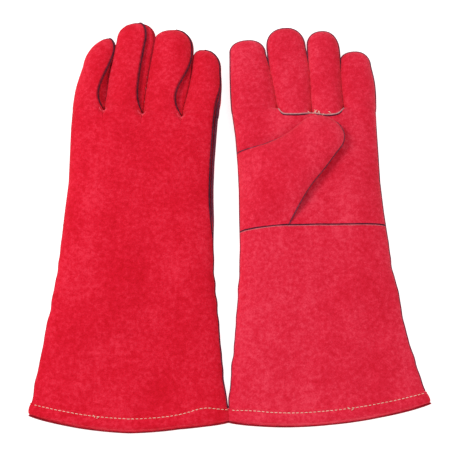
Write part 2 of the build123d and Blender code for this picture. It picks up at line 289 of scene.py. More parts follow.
class Glove:
    """One glove's shape: where its sheets of leather lie, row by row."""

    def __init__(self, name, spec):
        self.name, self.spec = name, spec
        self.palm_up = spec["palm_up"]
        self.body = f"{name}_glove"
        way = "up" if self.palm_up else "down"
        mouth = next(m for m in record["mounts"] if m["name"] == f"palm_{way}_cuff_mouth")
        self.v_dir = -Vector(mouth["axis"]).normalized()
        self.u_dir = Vector((self.v_dir.y, -self.v_dir.x, 0))
        self.origin = Vector((mouth["pos_m"][0], mouth["pos_m"][1], 0)) + self.v_dir * 10 * MM
        self.origin.x += spec["nudge"] * MM
        self.palm_side = TOP if self.palm_up else BOTTOM
        self.lay_columns()

    def world(self, points):
        """Glove frame in mm to the row frame in metres."""
        p = np.asarray(points, float) * MM
        u, v, o = np.array(self.u_dir), np.array(self.v_dir), np.array(self.origin)
        return o + p[..., :1] * u + p[..., 1:2] * v + p[..., 2:3] * SKY

    def half(self, v):
        return np.interp(v, STATIONS, self.spec["half"])

    def middle(self, v):
        return np.interp(v, STATIONS, self.spec["middle"])

    def lay_columns(self):
        """Columns of the grid: a row of them for each finger, closest together in the valleys between."""
        base, local = [], []
        for k, points in enumerate(self.spec["bases"]):
            keep = slice(0, None) if k == 3 else slice(0, -1)
            base.append(curve(points, (ACROSS + 1) / 2)[keep])
            local.append(ACROSS[keep])
        self.base = np.vstack(base)
        self.local = np.concatenate(local)
        self.share = self.share_of(self.base)
        outer, inner = self.spec["valley"]
        edge = np.concatenate([(1 - ACROSS[:-1]) / 2, np.zeros(2 * FINGER_COLUMNS), (1 + ACROSS) / 2])
        self.valley_reach = inner + (outer - inner) * edge

    def share_of(self, points):
        """Each point's share of the half width, with the outer two exactly on the glove's edges."""
        share = (points[:, 0] - self.middle(points[:, 1])) / self.half(points[:, 1])
        share[0], share[-1] = -1, 1
        return np.clip(share, -1, 1)

    def rolled(self, side):
        return not self.palm_up and side == TOP

    def columns(self, side, row):
        """Each column's share of the half width, its place across its finger and its base point's v."""
        if not self.rolled(side):
            return self.share, self.local, self.base[:, 1]
        base, local = [], []
        for k, points in enumerate(self.spec["bases"]):
            first, last = self.share[k * FINGER_COLUMNS], self.share[(k + 1) * FINGER_COLUMNS]
            inset = SEAM_INSET if k < 3 else SEAM_INSET + (SIDE_ROLL - SEAM_INSET) * side_roll(row)
            x = crowd(ACROSS, 1 - 2 * inset / ((last - first) * HAND_HALF))
            keep = slice(0, None) if k == 3 else slice(0, -1)
            base.append(curve(points, (x + 1) / 2)[keep])
            local.append(x[keep])
        base = np.vstack(base)
        return self.share_of(base), np.concatenate(local), base[:, 1]

    def seam_height(self, v):
        """The side seams rise from the hem on the floor to where the hand lies."""
        s = self.spec["seam"]
        return s["hem"] + (s["hand"] - s["hem"]) * smooth((v - 25) / 155)

    def thick(self, side, v):
        t = self.spec["top" if side == TOP else "bottom"]
        depth = [t["hem"], t["hem"] + 0.3, t["cuff"], t["hand"] * 0.95, t["hand"], t["finger"] + 0.6]
        return np.interp(v, [-14, 20, 110, 190, 240, 297], depth)

    def rest_on_ground(self, z, v, grow):
        """Eases heights that would go below the floor up to it; each ply rests on the one below."""
        rest = FLOOR_GAP + HEM_OFF_FLOOR * (1 - smooth(np.asarray(v) / 40))
        low = np.maximum(rest - grow, 0.05)
        soft = 1.2
        over = (z - low) / soft
        return low + soft * np.logaddexp(0, over) - soft * math.log(2) * np.exp(-np.abs(over))

    def ripple(self, side, u, v, mask):
        """Broad shallow folds and finer lumps in the leather."""
        seed = self.spec["seed"] + (0 if side == TOP else 40)
        wide = lump(u, v, seed, 46) * 0.75 + lump(u, v, seed + 5, 19) * 0.42 + lump(u, v, seed + 9, 8) * 0.16
        return wide * mask

    def wobble(self, f, v):
        """The cuff's sides are not quite straight."""
        uneven = lump(np.sign(f) * 30, v, self.spec["seed"] + 21, 13) * EDGE_WOBBLE
        return uneven * np.abs(f) ** 3 * (1 - smooth((v - 135) / 40))

    def hand_row(self, side, row, grow=0.0):
        """One row of points across the hand or cuff, for the sheet on one side."""
        f, x, base_v = self.columns(side, row)
        open_edge = 1 - smooth(row / HEM_FADE)
        v = row - HEM_SAG * (1 - f**2) * open_edge + (base_v - KNUCKLE_ROW) * smooth((row - 235) / 62)
        v = v + np.interp(f, SPREAD, self.spec["hem"]) * open_edge
        place, spread, rise = self.spec["puff"]
        v = v + rise * np.exp(-(((f - place) / spread) ** 2) - ((row - 9) / 6) ** 2)
        v = v + np.interp(f, SPREAD, self.spec["wrist"]) * math.exp(-(((row - WRIST) / 30) ** 2))
        if side == BOTTOM:
            v = v + HEM_SETBACK * (1 - f**2) * (1 - smooth(row / 40))
        u = self.middle(v) + f * (self.half(v) + grow) + self.wobble(f, v)
        bump = np.sqrt(np.maximum(1 - x**2, 0))
        valley = np.exp(-((max(KNUCKLE_ROW - row, 0) / self.valley_reach) ** 1.3))
        profile = pillow(f) * (1 - valley) + bump * valley
        if self.rolled(side):
            wall = slice(LITTLE_SEAM + 1, 4 * FINGER_COLUMNS)
            walls = np.array(WALLS["little"]) * (LINING_WALL if grow < 0 else 1)
            profile[wall] *= 1 + (walls - 1) * side_roll(row)
        tall = (self.thick(side, v) + grow) * profile
        z = self.seam_height(v) + side * tall + self.ripple(side, u, v, profile)
        if self.rolled(side):
            z = z + self.gap_ridges(u, v) * profile
        return np.stack([u, v, self.rest_on_ground(z, v, grow)], -1)

    def gap_ridges(self, u, v):
        """The leather stands up in a ring round the end of each gap between fingers."""
        high = 0
        for points in self.spec["bases"][1:]:
            far = np.hypot((u - points[0][0]) / 5.5, (v - points[0][1] + 2.5) / 5.0)
            high = high + RIDGE * np.exp(-((far - 1) ** 2) / 0.25)
        return high

    def hand_height(self, side, u, v):
        """Height of the palm or back under a point, away from the knuckles."""
        f = np.clip((u - self.middle(v)) / self.half(v), -1, 1)
        profile = pillow(f)
        z = self.seam_height(v) + side * self.thick(side, v) * profile + self.ripple(side, u, v, profile)
        return self.rest_on_ground(z, v, 0)

    def finger_sheet(self, k, side, grow=0.0):
        """Rows of points from the knuckles over the fingertip, for the sheet on one side."""
        name, rolled = FINGERS[k], self.rolled(side)
        first = k * FINGER_COLUMNS
        base_row = self.hand_row(side, KNUCKLE_ROW, grow)[first : first + FINGER_COLUMNS + 1]
        shape, base = self.spec["fingers"][name], self.spec["bases"][k]
        outward = np.array([grow, 0.0])
        left = np.array([base[0], *shape["left"]]) - outward
        right = np.array([base[-1], *shape["right"]]) + outward
        tip = np.array(shape["tip"]) + (0, grow)
        start, shoulders = (left[0] + right[0]) / 2, (left[-1] + right[-1]) / 2
        reach, straight = np.linalg.norm(tip - start), np.linalg.norm(shoulders - start)
        half = (right[-1][0] - left[-1][0]) / 2
        level = crowd(ACROSS, 1 - finger_roll(name, 0) / half) if rolled else ACROSS
        slant = base_row[:, :2] - (start + level[:, None] * (right[0] - left[0]) / 2)
        sizes = self.spec["top" if side == TOP else "bottom"]
        seam_start = self.seam_height(base_row[:, 1])
        rows = [base_row]
        straight_steps = [(s, 0.0) for s in np.linspace(0, 1, FINGER_STEPS + 1)[1:]]
        tip_steps = [(1.0, turn) for turn in np.linspace(0, math.pi / 2, TIP_STEPS + 1)[1:]]
        for s, turn in straight_steps + tip_steps:
            rising = math.sin(turn)
            snug = np.array([OVERLAP, 0.0]) * smooth(s * straight / 5)
            edges = []
            for edge, way in ((left, -1), (right, 1)):
                square = shape.get("square", TIP_SQUARE) if way < 0 else TIP_SQUARE
                closing = max(1 - rising**square, 0) ** (1 / square)
                shoulder = curve(edge, s)[0] + snug * way
                across = tip[0] + (shoulder[0] - tip[0]) * closing
                edges.append(np.array([across, shoulder[1] + (tip[1] - shoulder[1]) * rising]))
            y = s * straight + (reach - straight) * rising
            way = y / reach
            settle = smooth(y / (0.3 * reach))
            x = crowd(ACROSS, 1 - finger_roll(name, s) / half) if rolled else ACROSS
            plan = (edges[0] + edges[1]) / 2 + x[:, None] * (edges[1] - edges[0]) / 2 + slant * (1 - settle)
            tall = sizes["finger"] + 0.6 * (1 - settle) + (sizes["tip"] - sizes["finger"]) * way + grow
            fall = max(1 - rising**2.3, 0) ** (1 / 2.3)
            squareness = 2 + 0.5 * settle * np.ones(len(x))
            if rolled and k > 0:
                squareness[x < 0] -= 0.9 * smooth(y / 12)
            profile = np.sqrt(np.maximum(1 - np.abs(x) ** squareness, 0)) * fall
            if rolled:
                walls = np.array(WALLS[name]) * (LINING_WALL if grow < 0 else 1)
                profile[SEAM_COLUMN + 1 : -1] *= 1 + (walls - 1) * (smooth(y / 9) if k < 3 else 1 - settle)
            seam = seam_start * (1 - way) + self.spec["seam"]["tip"] * way
            z = seam + side * tall * profile + self.ripple(side, plan[:, 0], plan[:, 1], profile)
            rows.append(np.column_stack([plan, self.rest_on_ground(z, 400 + 0 * z, grow)]))
        return np.array(rows)

    def thumb_sheet(self, top_of_thumb, grow=0.0):
        """Rows from the wing's seams over the thumb's tip. The thumb always lies on the palm."""
        x = -np.cos(np.linspace(0, math.pi, THUMB_COLUMNS + 1))
        side = self.palm_side
        lower, upper = np.array(THUMB_LOWER), np.array(THUMB_UPPER)
        seam_points = np.array([lower[0], WING_CORNER, upper[0]])
        legs = np.concatenate([[0], np.linalg.norm(np.diff(seam_points, axis=0), axis=1).cumsum()])
        place = (x + 1) / 2 * legs[2]
        seam_line = np.stack([np.interp(place, legs, seam_points[:, i]) for i in range(2)], -1)
        slant = seam_line - (lower[0] + upper[0]) / 2 - x[:, None] * (upper[0] - lower[0]) / 2
        rows = []
        along = np.array(THUMB_DIR)
        wing = np.linspace(0, WING_SHARE, WING_ROWS + 1)
        rest = np.linspace(WING_SHARE, 1, THUMB_STEPS + 1)[1:]
        dome = np.linalg.norm(upper[-1] - lower[-1]) / 2 + grow
        straight_steps = [(s, 0.0) for s in (*wing, *rest)]
        tip_steps = [(1.0, turn) for turn in np.linspace(0, math.pi / 2, THUMB_TIP_STEPS + 1)[1:]]
        thick = self.spec["thumb_thick"]
        for s, turn in straight_steps + tip_steps:
            edge_l, edge_u = curve(lower, s)[0], curve(upper, s)[0]
            centre, reach = (edge_l + edge_u) / 2, (edge_u - edge_l) / 2
            reach = reach * (1 + grow / np.linalg.norm(reach))
            rising = math.sin(turn)
            closing = max(1 - rising**2.2, 0) ** (1 / 2.2)
            keep = (1 - smooth(s / (WING_SHARE * 1.1))) ** 1.4
            plan = centre + x[:, None] * reach * closing + along * dome * rising + slant * keep
            lift = smooth((s + 0.02) / 0.36)
            profile = np.sqrt(np.maximum(1 - np.abs(x) ** 3, 0)) * max(1 - rising**2.1, 0) ** 0.5
            seam = 0.5 + (thick * 0.42 - 0.5) * lift
            if top_of_thumb:
                over = seam + (thick * (0.35 + 0.65 * lift) * lift + grow - seam * lift) * profile
                over = over + lump(plan[:, 0], plan[:, 1], self.spec["seed"] + 70, 17) * 0.45 * profile * lift
            else:
                over = seam - (seam - 0.3 + grow) * profile
            z = self.hand_height(side, plan[:, 0], plan[:, 1]) + side * over
            rows.append(np.column_stack([plan, np.maximum(z, 0.1)]))
        return np.array(rows)


# Meshes


def new_mesh(name, verts, faces, normals=None):
    mesh = bpy.data.meshes.new(name)
    mesh.from_pydata([tuple(v) for v in verts], [], [tuple(int(i) for i in f) for f in faces])
    mesh.validate(clean_customdata=False)
    mesh.update()
    mesh.polygons.foreach_set("use_smooth", [True] * len(mesh.polygons))
    if normals is not None:
        mesh.normals_split_custom_set_from_vertices([tuple(n) for n in normals])
    obj = bpy.data.objects.new(name, mesh)
    bpy.context.scene.collection.objects.link(obj)
    return obj


class Skin:
    """Faces laid out in rows, gathered as one surface so that all its pieces shade as one."""

    def __init__(self, glove):
        self.glove = glove
        self.verts, self.index, self.parts = [], {}, {}

    def add(self, part, rows, flip):
        rows = self.glove.world(rows)
        ids = np.array([[self.vertex(p) for p in row] for row in rows])
        faces = self.parts.setdefault(part, [])
        for i in range(len(ids) - 1):
            for j in range(ids.shape[1] - 1):
                quad = [ids[i, j], ids[i, j + 1], ids[i + 1, j + 1], ids[i + 1, j]]
                face = list(dict.fromkeys(quad))
                if len(face) > 2:
                    faces.append(face[::-1] if flip else face)

    def vertex(self, p):
        key = (round(p[0] * 1e6), round(p[1] * 1e6), round(p[2] * 1e6))
        if key not in self.index:
            self.index[key] = len(self.verts)
            self.verts.append(p)
        return self.index[key]

    def vertex_normals(self):
        verts = np.array(self.verts)
        normals = np.zeros_like(verts)
        for faces in self.parts.values():
            for face in faces:
                p = verts[face]
                n = np.zeros(3)
                for i in range(1, len(face) - 1):
                    n += np.cross(p[i] - p[0], p[i + 1] - p[0])
                normals[face] += n
        return unit(normals)

    def pieces(self):
        """One object for each part, given the leather's thickness inwards."""
        verts, normals = np.array(self.verts), self.vertex_normals()
        made = {}
        for part, faces in self.parts.items():
            used = sorted({i for f in faces for i in f})
            local = {g: n for n, g in enumerate(used)}
            outer = verts[used]
            inner = outer - normals[used] * LEATHER * MM
            count = len(used)
            front = [[local[i] for i in f] for f in faces]
            back = [[local[i] + count for i in reversed(f)] for f in faces]
            edges = dict.fromkeys((a, b) for f in front for a, b in zip(f, f[1:] + f[:1]))
            rim = [[b, a, a + count, b + count] for a, b in edges if (b, a) not in edges]
            shade = np.vstack([normals[used], -normals[used]])
            name = f"{self.glove.name}_{part}"
            made[part] = new_mesh(name, np.vstack([outer, inner]), front + back + rim, shade)
        return made


def strip(name, paths, width, height, sink=0.4):
    """A thin rounded strip along each path: its points, the way it stands out, and how much of it shows."""
    verts, faces = [], []
    w, h, low = width / 2 * MM, height * MM, -sink * MM
    rising = [(-w, low), (-w, h * 0.55), (-w * 0.6, h * 0.92)]
    profile = [*rising, (0, h), *[(-x, y) for x, y in reversed(rising)]]
    n = len(profile)
    for points, outward, shown in paths:
        points, outward = np.asarray(points), np.asarray(outward)
        shown = shown * np.ones(len(points))
        tangent = unit(np.gradient(points, axis=0))
        outward = unit(outward - (outward * tangent).sum(1)[:, None] * tangent)
        aside = np.cross(tangent, outward)
        start = len(verts)
        for p, o, a, share in zip(points, outward, aside, shown):
            verts += [p + a * x * (0.5 + 0.5 * share) + o * (y * share if y > 0 else y) for x, y in profile]
        for i in range(len(points) - 1):
            for j in range(n):
                a, b = start + i * n + j, start + i * n + (j + 1) % n
                faces.append([a, a + n, b + n, b])
        faces.append([start + j for j in range(n)])
        faces.append([start + (len(points) - 1) * n + j for j in reversed(range(n))])
    return new_mesh(name, verts, faces)


def wall(name, rings):
    """A closed wall: the rings of points run up its outside and down its inside."""
    rings = [np.asarray(r) for r in (*rings, rings[0])]
    n = len(rings[0])
    faces = []
    for i in range(len(rings) - 1):
        for j in range(n):
            a, b = i * n + j, i * n + (j + 1) % n
            faces.append([a, b, b + n, a + n])
    obj = new_mesh(name, np.vstack(rings), faces)
    bm = bmesh.new()
    bm.from_mesh(obj.data)
    bmesh.ops.remove_doubles(bm, verts=bm.verts, dist=2e-6)
    bmesh.ops.dissolve_degenerate(bm, dist=1e-6, edges=bm.edges)
    bmesh.ops.recalc_face_normals(bm, faces=bm.faces)
    bm.to_mesh(obj.data)
    bm.free()
    obj.data.polygons.foreach_set("use_smooth", [True] * len(obj.data.polygons))
    return obj


def ring_of(glove, top, bottom):
    """A closed ring through a row of the upper sheet and the same row of the lower one."""
    return glove.world(np.vstack([top, bottom[::-1][1:-1]]))


def ring_round(glove, row, grow):
    return ring_of(glove, glove.hand_row(TOP, row, grow), glove.hand_row(BOTTOM, row, grow))


def finger_rings(glove, k, grow):
    sheets = (glove.finger_sheet(k, side, grow)[LINING_ROWS_OFF:] for side in (TOP, BOTTOM))
    return [ring_of(glove, a, b) for a, b in zip(*sheets)]


def thumb_rings(glove, grow):
    sheets = (glove.thumb_sheet(top_of_thumb, grow)[WING_ROWS:] for top_of_thumb in (True, False))
    return [ring_of(glove, a, b) for a, b in zip(*sheets)]


def outline(rows, last=-1):
    """The path up a sheet's first column, over its tip and down the last one, and its outward directions."""
    path = np.vstack([rows[:, 0], rows[:-1, last][::-1]])
    side = np.array([0] * len(rows) + [1] * (len(rows) - 1))
    keep = [0] + [i for i in range(1, len(path)) if np.linalg.norm(path[i] - path[i - 1]) > 1e-5]
    path = path[keep]
    tangent = np.gradient(path, axis=0)
    outward = np.stack([-tangent[:, 1], tangent[:, 0], 0 * tangent[:, 0]], -1)
    return path, outward, side[keep]


def resample(points, step):
    points = np.asarray(points)
    far = np.concatenate([[0], np.linalg.norm(np.diff(points, axis=0), axis=1).cumsum()])
    places = np.linspace(0, far[-1], max(int(far[-1] / step), 2))
    return np.stack([np.interp(places, far, points[:, i]) for i in range(3)], -1)


def stitches(name, paths):
    """A row of separate stitches along each path, each one arched out of the leather and sunk at its ends."""
    verts, faces = [], []
    sides = 7
    along = [-0.5, -0.42, -0.2, 0.2, 0.42, 0.5]
    radius = [0.1, 0.26, 0.34, 0.34, 0.26, 0.1]
    lift = [-0.45, -0.1, 0.12, 0.12, -0.1, -0.45]
    rng = np.random.default_rng(5)
    for path, out in paths:
        spots = resample(path, STITCH_PITCH * MM)
        tangent = np.gradient(spots, axis=0)
        for spot, t in zip(spots[1:-1], tangent[1:-1]):
            t = t / np.linalg.norm(t) + rng.normal(0, 0.05, 3)
            t /= np.linalg.norm(t)
            side = np.cross(out, t)
            side /= np.linalg.norm(side)
            up = np.cross(t, side)
            long = STITCH_LONG * rng.uniform(0.88, 1.08) * MM
            start = len(verts)
            for a, r, h in zip(along, radius, lift):
                centre = spot + t * a * long + up * h * MM
                for i in range(sides):
                    turn = 2 * math.pi * i / sides
                    verts.append(centre + (side * math.cos(turn) + up * math.sin(turn)) * r * MM)
            for i in range(len(along) - 1):
                for j in range(sides):
                    k = (j + 1) % sides
                    a, b = start + i * sides, start + (i + 1) * sides
                    faces.append([a + j, a + k, b + k, b + j])
            faces.append([start + j for j in reversed(range(sides))])
            faces.append([start + (len(along) - 1) * sides + j for j in range(sides)])
    return new_mesh(name, verts, faces)


def lying(points, shown=1, up=SKY):
    """A path for a strip that lies on a level sheet."""
    return points, np.tile(up, (len(points), 1)), shown


def loose_threads(name, glove, spots, lengths):
    """Short loose ends of thread, each arched up from its spot on the leather."""
    rng = np.random.default_rng(8)
    lines = []
    for spot in spots:
        spot = spot + rng.normal(0, 0.8, 3) * (1, 1, 0)
        turn = rng.uniform(-1.2, 1.2) + math.pi / 2
        end = spot + rng.uniform(*lengths) * np.array([math.cos(turn), math.sin(turn), 0])
        middle = (spot + end) / 2 + (0, 0, 0.9)
        points = curve([spot + (0, 0, 0.2), middle, end + (0, 0, 0.3)], np.linspace(0, 1, 7))
        lines.append(lying(glove.world(points)))
    return strip(name, lines, 0.5, 0.5)


# Materials


def node(tree, kind, **values):
    made = tree.nodes.new(kind)
    for key, value in values.items():
        if key in made.inputs:
            made.inputs[key].default_value = value
        else:
            setattr(made, key, value)
    return made


def fresh(name):
    material = bpy.data.materials.new(name)
    material.use_nodes = True
    tree = material.node_tree
    return material, tree, tree.nodes["Principled BSDF"]


def noise_of(tree, coords, scale, detail=4.0, roughness=0.55, distortion=0.0):
    values = {"Scale": scale, "Detail": detail, "Roughness": roughness, "Distortion": distortion}
    made = node(tree, "ShaderNodeTexNoise", **values)
    tree.links.new(coords, made.inputs["Vector"])
    return made.outputs["Fac"]


def wave_of(tree, coords, way, scale, distortion):
    made = node(tree, "ShaderNodeTexWave", bands_direction=way, Scale=scale, Distortion=distortion)
    tree.links.new(coords, made.inputs["Vector"])
    return made.outputs["Fac"]


def math_of(tree, operation, a, b):
    made = node(tree, "ShaderNodeMath", operation=operation)
    for i, value in enumerate((a, b)):
        if isinstance(value, (int, float)):
            made.inputs[i].default_value = value
        else:
            tree.links.new(value, made.inputs[i])
    return made.outputs[0]


def ramp_of(tree, fac, stops):
    made = tree.nodes.new("ShaderNodeValToRGB")
    ramp = made.color_ramp
    while len(ramp.elements) < len(stops):
        ramp.elements.new(0.5)
    for element, (place, colour) in zip(ramp.elements, stops):
        element.position, element.color = place, (*colour, 1)
    tree.links.new(fac, made.inputs["Fac"])
    return made.outputs["Color"]


def bump_of(tree, bsdf, height, strength, distance):
    made = node(tree, "ShaderNodeBump", Strength=strength, Distance=distance)
    tree.links.new(height, made.inputs["Height"])
    tree.links.new(made.outputs["Normal"], bsdf.inputs["Normal"])


def suede(name, dark, mid, light, sheen=0.25):
    """Split leather: a mottled dye with faint bands down its length, a short matted nap and a soft sheen."""
    material, tree, bsdf = fresh(name)
    coords = tree.nodes.new("ShaderNodeTexCoord").outputs["Object"]
    long_way = node(tree, "ShaderNodeMapping", Scale=(1.0, 0.16, 1.0))
    tree.links.new(coords, long_way.inputs["Vector"])
    bands = noise_of(tree, long_way.outputs["Vector"], 42, 3, 0.5)
    blotch = noise_of(tree, coords, 30, 4, 0.55, 0.2)
    grain = noise_of(tree, coords, 260, 6, 0.7)
    fibre = noise_of(tree, coords, 1200, 4, 0.7, 0.6)
    tone = math_of(tree, "MULTIPLY", bands, 0.13)
    for part, share in ((blotch, 0.16), (grain, 0.42), (fibre, 0.29)):
        tone = math_of(tree, "ADD", tone, math_of(tree, "MULTIPLY", part, share))
    colour = ramp_of(tree, tone, [(0.41, dark), (0.5, mid), (0.60, light)])
    tree.links.new(colour, bsdf.inputs["Base Color"])
    rough = math_of(tree, "ADD", math_of(tree, "MULTIPLY", grain, 0.2), 0.78)
    tree.links.new(rough, bsdf.inputs["Roughness"])
    matted = math_of(tree, "MULTIPLY", grain, 1.1)
    height = math_of(tree, "ADD", matted, math_of(tree, "MULTIPLY", fibre, 0.5))
    bump_of(tree, bsdf, height, 0.5, 0.0011)
    bsdf.inputs["Specular IOR Level"].default_value = 0.1
    bsdf.inputs["Sheen Weight"].default_value = sheen
    bsdf.inputs["Sheen Roughness"].default_value = 0.45
    bsdf.inputs["Sheen Tint"].default_value = (1.0, 0.42, 0.46, 1)
    return material


def cotton():
    """Brushed cotton lining: a fine weave under a little fuzz."""
    material, tree, bsdf = fresh("cotton_lining")
    coords = tree.nodes.new("ShaderNodeTexCoord").outputs["Object"]
    warp, weft = (wave_of(tree, coords, way, 330.0, 1.2) for way in "XY")
    weave = math_of(tree, "MULTIPLY", warp, weft)
    fuzz = noise_of(tree, coords, 420, 5, 0.7)
    tone = math_of(tree, "ADD", math_of(tree, "MULTIPLY", weave, 0.4), math_of(tree, "MULTIPLY", fuzz, 0.6))
    shades = [(0.2, (0.30, 0.25, 0.20)), (0.5, (0.52, 0.46, 0.38)), (0.8, (0.68, 0.62, 0.54))]
    colour = ramp_of(tree, tone, shades)
    tree.links.new(colour, bsdf.inputs["Base Color"])
    bump_of(tree, bsdf, tone, 0.5, 0.0006)
    bsdf.inputs["Roughness"].default_value = 0.95
    bsdf.inputs["Sheen Weight"].default_value = 0.3
    return material


def thread():
    """Twisted cotton thread, cream, a little grubby."""
    material, tree, bsdf = fresh("cream_thread")
    coords = tree.nodes.new("ShaderNodeTexCoord").outputs["Object"]
    twist = wave_of(tree, coords, "DIAGONAL", 900.0, 0.6)
    grub = noise_of(tree, coords, 90, 3)
    twisted = math_of(tree, "MULTIPLY", twist, 0.35)
    tone = math_of(tree, "ADD", twisted, math_of(tree, "MULTIPLY", grub, 0.65))
    shades = [(0.25, (0.70, 0.34, 0.24)), (0.5, (0.86, 0.54, 0.42)), (0.75, (0.93, 0.72, 0.60))]
    colour = ramp_of(tree, tone, shades)
    tree.links.new(colour, bsdf.inputs["Base Color"])
    bump_of(tree, bsdf, twist, 0.4, 0.0002)
    bsdf.inputs["Roughness"].default_value = 0.6
    return material


RED = suede("red_suede_back", (0.56, 0.002, 0.012), (0.67, 0.006, 0.025), (0.80, 0.028, 0.060), 0.14)
ROSE = suede("red_suede_palm", (0.60, 0.005, 0.022), (0.71, 0.015, 0.044), (0.83, 0.048, 0.090), 0.30)
# PLUM is the palm-up glove's welts, and also the painted shade of the palm-down glove's side bands.
PLUM = suede("plum_welt", (0.10, 0.014, 0.035), (0.17, 0.030, 0.060), (0.26, 0.060, 0.10), 0.15)
# DARK is the palm-down glove's welts and the wrist welt, and also the painted shadow beside the finger bases.
DARK = suede("dark_welt", (0.035, 0.004, 0.012), (0.075, 0.009, 0.024), (0.15, 0.018, 0.04), 0.1)
# This is painted shade: dark leather laid in the grooves beside the palm-down glove's seams and fingers, and
# as the shadow under the hem's binding.
PAINTED_SHADE = suede("deep_seam", (0.20, 0.002, 0.008), (0.30, 0.004, 0.014), (0.42, 0.010, 0.026), 0.1)
PINK = suede("pink_edge", (0.52, 0.05, 0.08), (0.66, 0.11, 0.14), (0.78, 0.20, 0.22))
# This is a painted highlight: paler, lit-looking leather on the ridges round the ends of the gaps between
# fingers.
RIDGE_HIGHLIGHT = suede("worn_edge", (0.60, 0.015, 0.040), (0.74, 0.040, 0.075), (0.86, 0.09, 0.13))
PALE = suede("pale_edge", (0.34, 0.11, 0.13), (0.50, 0.20, 0.22), (0.66, 0.36, 0.36), 0.3)
COTTON = cotton()
THREAD = thread()

# What a slot is made of unless a piece brings its own shade
SLOTS = {"cotton_lining": COTTON, "cream_thread": THREAD}


# Pieces


def finish_piece(glove, obj, slot, part, bends=None, material=None):
    """Gives a piece its material and hides its node's CAD part; the piece rides on the glove's body, or with
    bends has its transform baked and is left unparented. bends is the two bodies and the two ends of the bend
    between them; only whether it is given is used.
    """
    obj.data.materials.append(material or SLOTS[slot])
    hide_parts(f"{glove.name}_{part}")
    if bends:
        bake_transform(obj)
    else:
        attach(obj, glove.body)


def sew_strip(glove, kind, lines, size, part, material, bends=None):
    """A strip of welt leather or of painted shade along each line; size is its width, its height and how deep
    it sinks.
    """
    finish_piece(glove, strip(f"{glove.name}_{kind}", lines, *size), "dark_welt", part, bends, material)


def bend(glove, name, start, end):
    """The bodies and the stretch over which a finger or thumb bends, given in mm along it from its hinge."""
    kind = "fold" if name == "thumb" else "curl"
    joint = next(j for j in record["behaviour"]["joints"] if j["name"] == f"{glove.name}_{name}_{kind}")
    hinge, axis = Vector(joint["pos_m"]), Vector(joint["axis"])
    along = Vector((-axis.y, axis.x, 0)) * (1 if glove.palm_up else -1)
    return glove.body, f"{glove.name}_{name}", hinge + along * start * MM, hinge + along * end * MM


def row_places(v0, v1, step):
    return list(np.linspace(v0, v1, round((v1 - v0) / step) + 1))


def make_leather(glove):
    """The sheets of the hand, the cuff and the fingers, with rows closer together beside the seams."""
    cuff = row_places(0, WRIST - 4, CUFF_STEP) + [WRIST - before for before in (2.2, 1.1, 0.5, 0.0)]
    hand = [WRIST + past for past in (0.0, 0.5, 1.1, 2.2)] + row_places(WRIST + 4, KNUCKLE_ROW - 9, HAND_STEP)
    hand += [KNUCKLE_ROW - before for before in (7.0, 5.6, 4.4, 3.4, 2.5, 1.7, 1.0, 0.4, 0.0)]
    skin = Skin(glove)
    for side in (TOP, BOTTOM):
        low, high = (np.array([glove.hand_row(side, r) for r in rows]) for rows in (cuff, hand))
        flip = side == BOTTOM
        is_palm, rolled = side == glove.palm_side, glove.rolled(side)
        if rolled:
            skin.add("cuff_front", low[:, LITTLE_SEAM:], flip)
            skin.add("palm_panel", high[:, LITTLE_SEAM:], flip)
        if is_palm:
            skin.add("cuff_front", low, flip)
            skin.add("palm_panel", high, flip)
        else:
            back = np.vstack([low, high[1:]])
            skin.add("back_panel", back[:, : LITTLE_SEAM + 1] if rolled else back, flip)
        for k, name in enumerate(FINGERS):
            sheet = glove.finger_sheet(k, side)
            if rolled:
                skin.add(f"{name}_front", sheet[:, SEAM_COLUMN:], flip)
                sheet = sheet[:, : SEAM_COLUMN + 1]
            skin.add(f"{name}_{'front' if is_palm else 'back'}", sheet, flip)
    for part, obj in skin.pieces().items():
        finger = part.split("_")[0]
        bends = bend(glove, finger, *FINGER_BEND) if finger in FINGERS else None
        finish_piece(glove, obj, "red_suede", part, bends, glove.leather)


def make_finger_welt(glove, k):
    """The welt in the seam round a finger; on the palm-down glove it shows most near the tip."""
    rows = glove.world(glove.finger_sheet(k, TOP))
    path, outward, side = outline(rows, -1 if glove.palm_up else SEAM_COLUMN)
    outward = unit(outward)
    near_tip = np.linalg.norm(path - path[side > 0][0], axis=1) / MM
    if glove.palm_up:
        outward = outward + (0, 0, 0.5)
        shown = 1.0 + 0.3 * np.exp(-((near_tip / 14) ** 2))
    else:
        outward = outward * 0.55 + np.outer(side, [0, 0, 0.85])
        outer_side = 0.1 + 0.9 * np.exp(-((near_tip / 14) ** 2))
        seam_side = 0.4 + 1.0 * np.exp(-near_tip / 20)
        shown = np.where(side > 0, seam_side, outer_side) * (1 + 0.3 * lump(near_tip, side, 5.0, 3.1))
    part, bends = f"{FINGERS[k]}_welt", bend(glove, FINGERS[k], *FINGER_BEND)
    wide = 1.4 if glove.palm_up else 1.7
    sew_strip(glove, part, [(path, outward, shown)], (wide, 0.95), part, glove.welt, bends)


